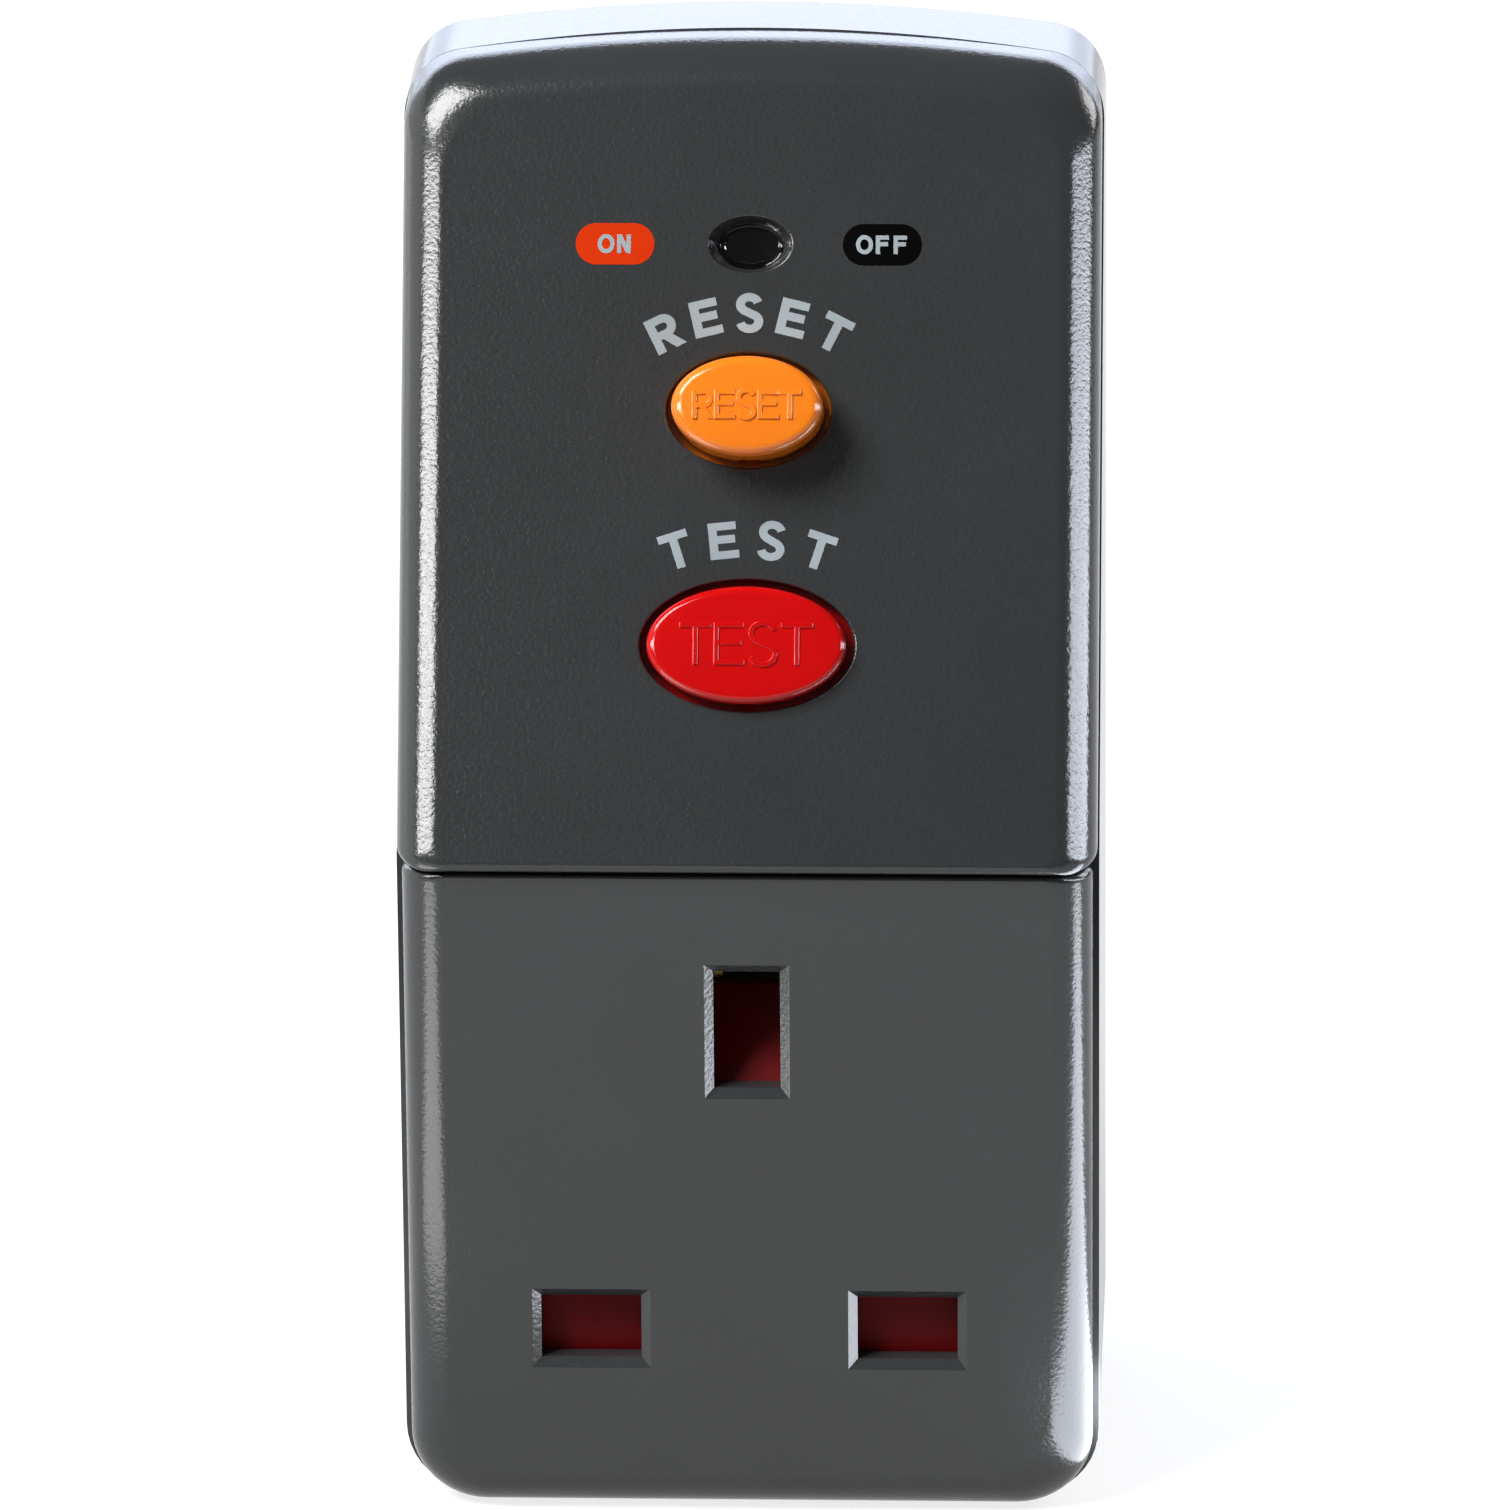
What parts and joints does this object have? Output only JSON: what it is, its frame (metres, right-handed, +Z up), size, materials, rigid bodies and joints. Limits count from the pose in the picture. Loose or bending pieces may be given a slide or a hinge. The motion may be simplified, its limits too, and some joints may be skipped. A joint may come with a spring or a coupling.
{
  "type": "rcd adapter plug",
  "caption": "Plug-through residual current device: wedge-shaped case with plug pins behind, a shuttered socket in front, sprung reset and test buttons, a status flag and a trip mechanism.",
  "frame": {"origin": "on the wall face, midway between the line and neutral pins", "axes": "+X to the right seen from the front, +Y into the wall socket along the pins, +Z up towards the earth pin"},
  "size_m": [0.049, 0.0582, 0.1013],
  "materials": {
    "shell_grey": "spark-eroded satin",
    "screw_steel": "zinc plated",
    "pin_brass": "bright",
    "sleeve_black": "satin",
    "carrier_ivory": "satin",
    "contact_brass": "rolled",
    "strip_copper": "rolled",
    "wire_brown": "satin",
    "wire_blue": "satin",
    "shutter_red": "satin",
    "spring_steel": "drawn wire",
    "lens_smoke": "polished",
    "reset_orange": "satin",
    "test_red": "satin",
    "flag_black": "satin",
    "flag_orange": "printed",
    "latch_steel": "plated",
    "winding_copper": "enamelled wire",
    "core_grey": "coated",
    "board_green": "solder mask",
    "chip_black": "moulded",
    "varistor_blue": "dipped",
    "capacitor_yellow": "moulded",
    "resistor_tan": "dipped"
  },
  "bodies": {
    "housing": {"rear_shell": "shell_grey", "control_cover": "shell_grey", "socket_cover": "shell_grey", "case_screws": "screw_steel", "earth_pin": "pin_brass", "line_pin": "pin_brass", "neutral_pin": "pin_brass", "line_pin_sleeve": "sleeve_black", "neutral_pin_sleeve": "sleeve_black", "pin_clamp": "carrier_ivory", "contact_carrier": "carrier_ivory", "mechanism_frame": "carrier_ivory", "coil_bobbin": "carrier_ivory", "earth_contact": "contact_brass", "line_contact": "contact_brass", "neutral_contact": "contact_brass", "test_pads": "contact_brass", "supply_contacts": "contact_brass", "load_contacts": "contact_brass", "line_supply_strip": "strip_copper", "neutral_supply_strip": "strip_copper", "line_load_wire": "wire_brown", "neutral_load_wire": "wire_blue", "shutter_spring": "spring_steel", "reset_spring": "spring_steel", "test_spring": "spring_steel", "opening_spring": "spring_steel", "latch_spring": "spring_steel", "window_lens": "lens_smoke", "solenoid_yoke": "latch_steel", "pole_piece": "latch_steel", "coil_winding": "winding_copper", "toroid_winding": "winding_copper", "toroid_core": "core_grey", "circuit_board": "board_green", "control_chip": "chip_black", "rectifier_diodes": "chip_black", "thyristor": "chip_black", "varistor": "varistor_blue", "film_capacitor": "capacitor_yellow", "resistors": "resistor_tan"},
    "reset_button": {"reset_button": "reset_orange"},
    "test_button": {"test_button": "test_red", "test_bridge": "contact_brass"},
    "shutter": {"socket_shutter": "shutter_red"},
    "carriage": {"contact_carriage": "carrier_ivory", "bridge_contacts": "contact_brass"},
    "flag": {"indicator_flag": "flag_black", "flag_marker": "flag_orange"},
    "trip": {"trip_plunger": "latch_steel", "latch_plate": "latch_steel"}
  },
  "joints": [
    {"name": "reset_press", "type": "slide", "parent": "housing", "child": "reset_button", "axis": [0, 0.9205, -0.3907], "range_m": [0, 0.002], "stiffness_N_per_m": 800, "springref_m": -0.002, "deforming": ["reset_spring"]},
    {"name": "test_press", "type": "slide", "parent": "housing", "child": "test_button", "axis": [0, 0.9205, -0.3907], "range_m": [0, 0.0011], "stiffness_N_per_m": 1200, "springref_m": -0.001, "deforming": ["test_spring"]},
    {"name": "shutter_slide", "type": "slide", "parent": "housing", "child": "shutter", "axis": [0, 0, -1], "range_m": [0, 0.0056], "stiffness_N_per_m": 120, "springref_m": -0.004, "deforming": ["shutter_spring"]},
    {"name": "contact_close", "type": "slide", "parent": "housing", "child": "carriage", "axis": [0, -0.9205, 0.3907], "range_m": [0, 0.002], "stiffness_N_per_m": 700, "springref_m": -0.002, "deforming": ["opening_spring"]},
    {"name": "flag_slide", "type": "slide", "parent": "housing", "child": "flag", "axis": [0, 0.3907, 0.9205], "range_m": [0, 0.004]},
    {"name": "trip_pull", "type": "slide", "parent": "housing", "child": "trip", "axis": [0, -0.3907, -0.9205], "range_m": [0, 0.0022], "stiffness_N_per_m": 250, "springref_m": -0.002, "deforming": ["latch_spring"]}
  ],
  "couplings": [
    {"joint": "flag_slide", "follows": "contact_close", "ratio": 2}
  ]
}
